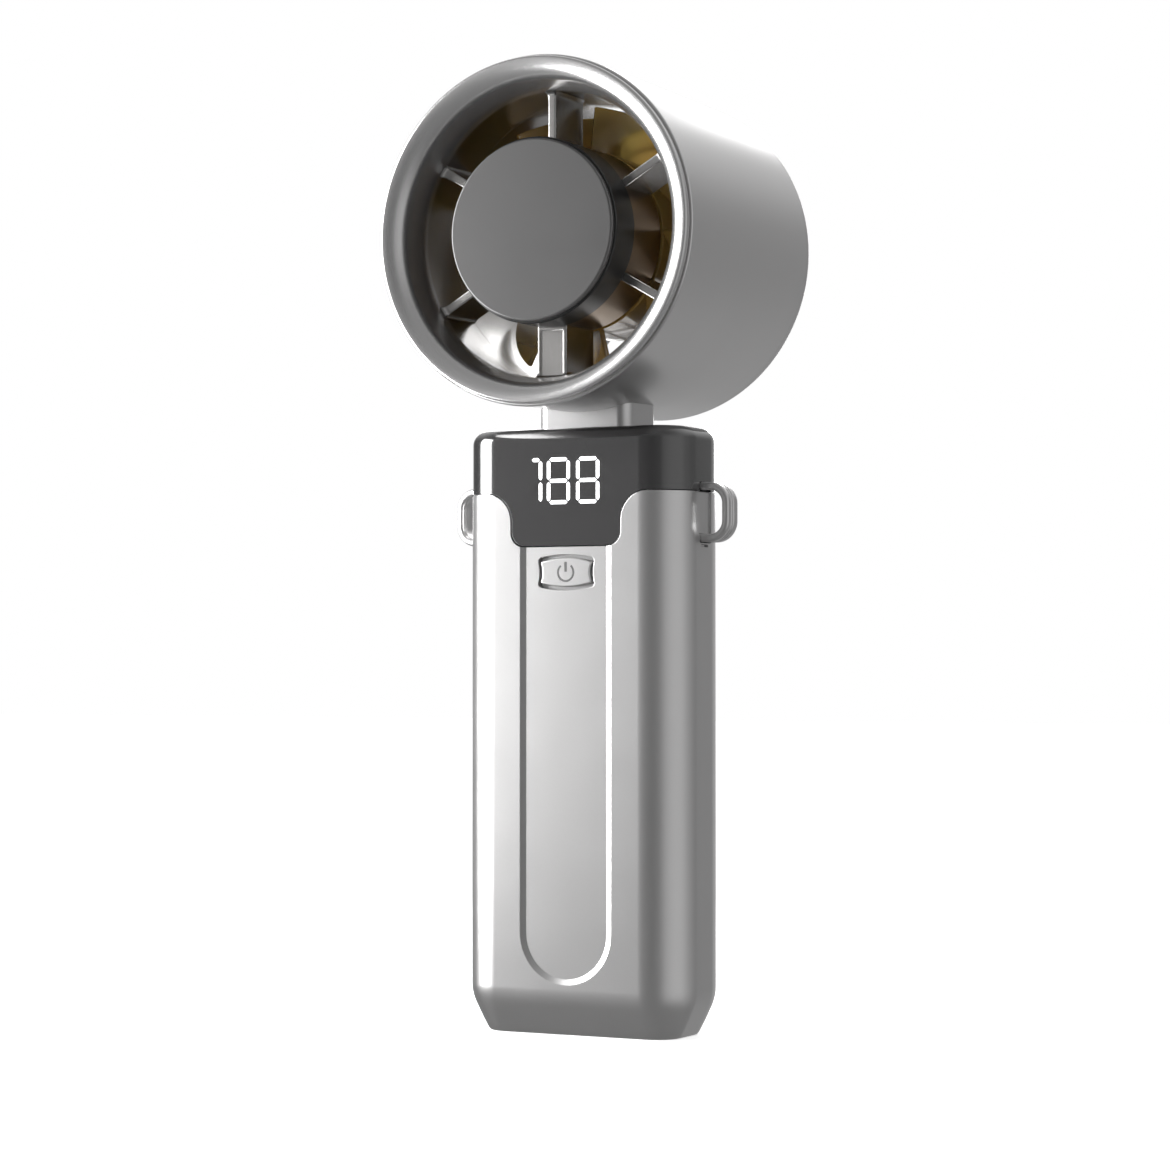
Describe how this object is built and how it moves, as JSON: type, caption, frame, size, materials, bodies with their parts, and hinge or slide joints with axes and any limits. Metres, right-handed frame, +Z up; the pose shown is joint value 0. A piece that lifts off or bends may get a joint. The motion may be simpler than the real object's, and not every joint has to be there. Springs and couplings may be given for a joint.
{
  "type": "handheld turbo fan",
  "caption": "Handheld turbo fan: a short barrel head with fixed front vanes and a spinning impeller on a slim rounded handle with a display cap, power button and lanyard loops.",
  "frame": {"origin": "centre of the handle's flat base", "axes": "+Z up along the handle, -Y the way the air leaves the barrel, +X to the right seen from the front"},
  "size_m": [0.064, 0.0556, 0.179],
  "materials": {
    "silver_shell": "satin metallic",
    "smoke_cap": "high gloss",
    "lit_digits": "lit",
    "display_block": "matt",
    "circuit_board": "satin",
    "black_plastic": "matt",
    "plated_steel": "satin",
    "dark_plastic": "matt",
    "cell_wrap": "satin wrap",
    "nickel": "bright",
    "screw_steel": "satin",
    "lead_rubber": "satin",
    "silver_ring": "satin metallic",
    "vane_silver": "satin metallic",
    "hub_black": "gloss",
    "disc_grey": "satin",
    "duct_silver": "polished metallic",
    "motor_alloy": "satin",
    "bearing_steel": "bright",
    "core_steel": "laminated",
    "copper_wire": "enamelled",
    "switch_ivory": "matt",
    "amber_plastic": "translucent",
    "magnet": "satin",
    "brass_insert": "bright"
  },
  "bodies": {
    "handle": {"sleeve": "silver_shell", "top_cap": "smoke_cap", "display_digits": "lit_digits", "display_module": "display_block", "main_board": "circuit_board", "tact_switch": "black_plastic", "charge_board": "circuit_board", "usb_port": "plated_steel", "chassis": "dark_plastic", "left_cell": "cell_wrap", "right_cell": "cell_wrap", "cell_links": "nickel", "base_screws": "screw_steel", "left_loop": "silver_shell", "right_loop": "silver_shell", "neck": "silver_shell", "neck_screws": "screw_steel", "barrel_screws": "screw_steel", "motor_leads": "lead_rubber", "barrel_shell": "silver_shell", "front_ring": "silver_ring", "vane_ring": "vane_silver", "hub_cap": "hub_black", "hub_disc": "disc_grey", "duct_liner": "duct_silver", "motor_base": "motor_alloy", "motor_screws": "screw_steel", "motor_board": "circuit_board", "front_bearing": "bearing_steel", "rear_bearing": "bearing_steel", "stator_core": "core_steel", "stator_coils": "copper_wire", "rear_grille": "silver_shell"},
    "button": {"power_button": "silver_shell", "switch_plunger": "switch_ivory"},
    "rotor": {"impeller": "amber_plastic", "rotor_can": "plated_steel", "magnet_ring": "magnet", "motor_shaft": "bearing_steel", "shaft_bush": "brass_insert", "shaft_clip": "screw_steel"}
  },
  "joints": [
    {"name": "impeller_spin", "type": "hinge", "parent": "handle", "child": "rotor", "pos_m": [0, 0, 0.147], "axis": [0, 1, 0], "continuous": true},
    {"name": "button_press", "type": "slide", "parent": "handle", "child": "button", "axis": [0, 1, 0], "range_m": [0, 0.0004], "stiffness_N_per_m": 1500, "springref_m": -0.0004}
  ]
}
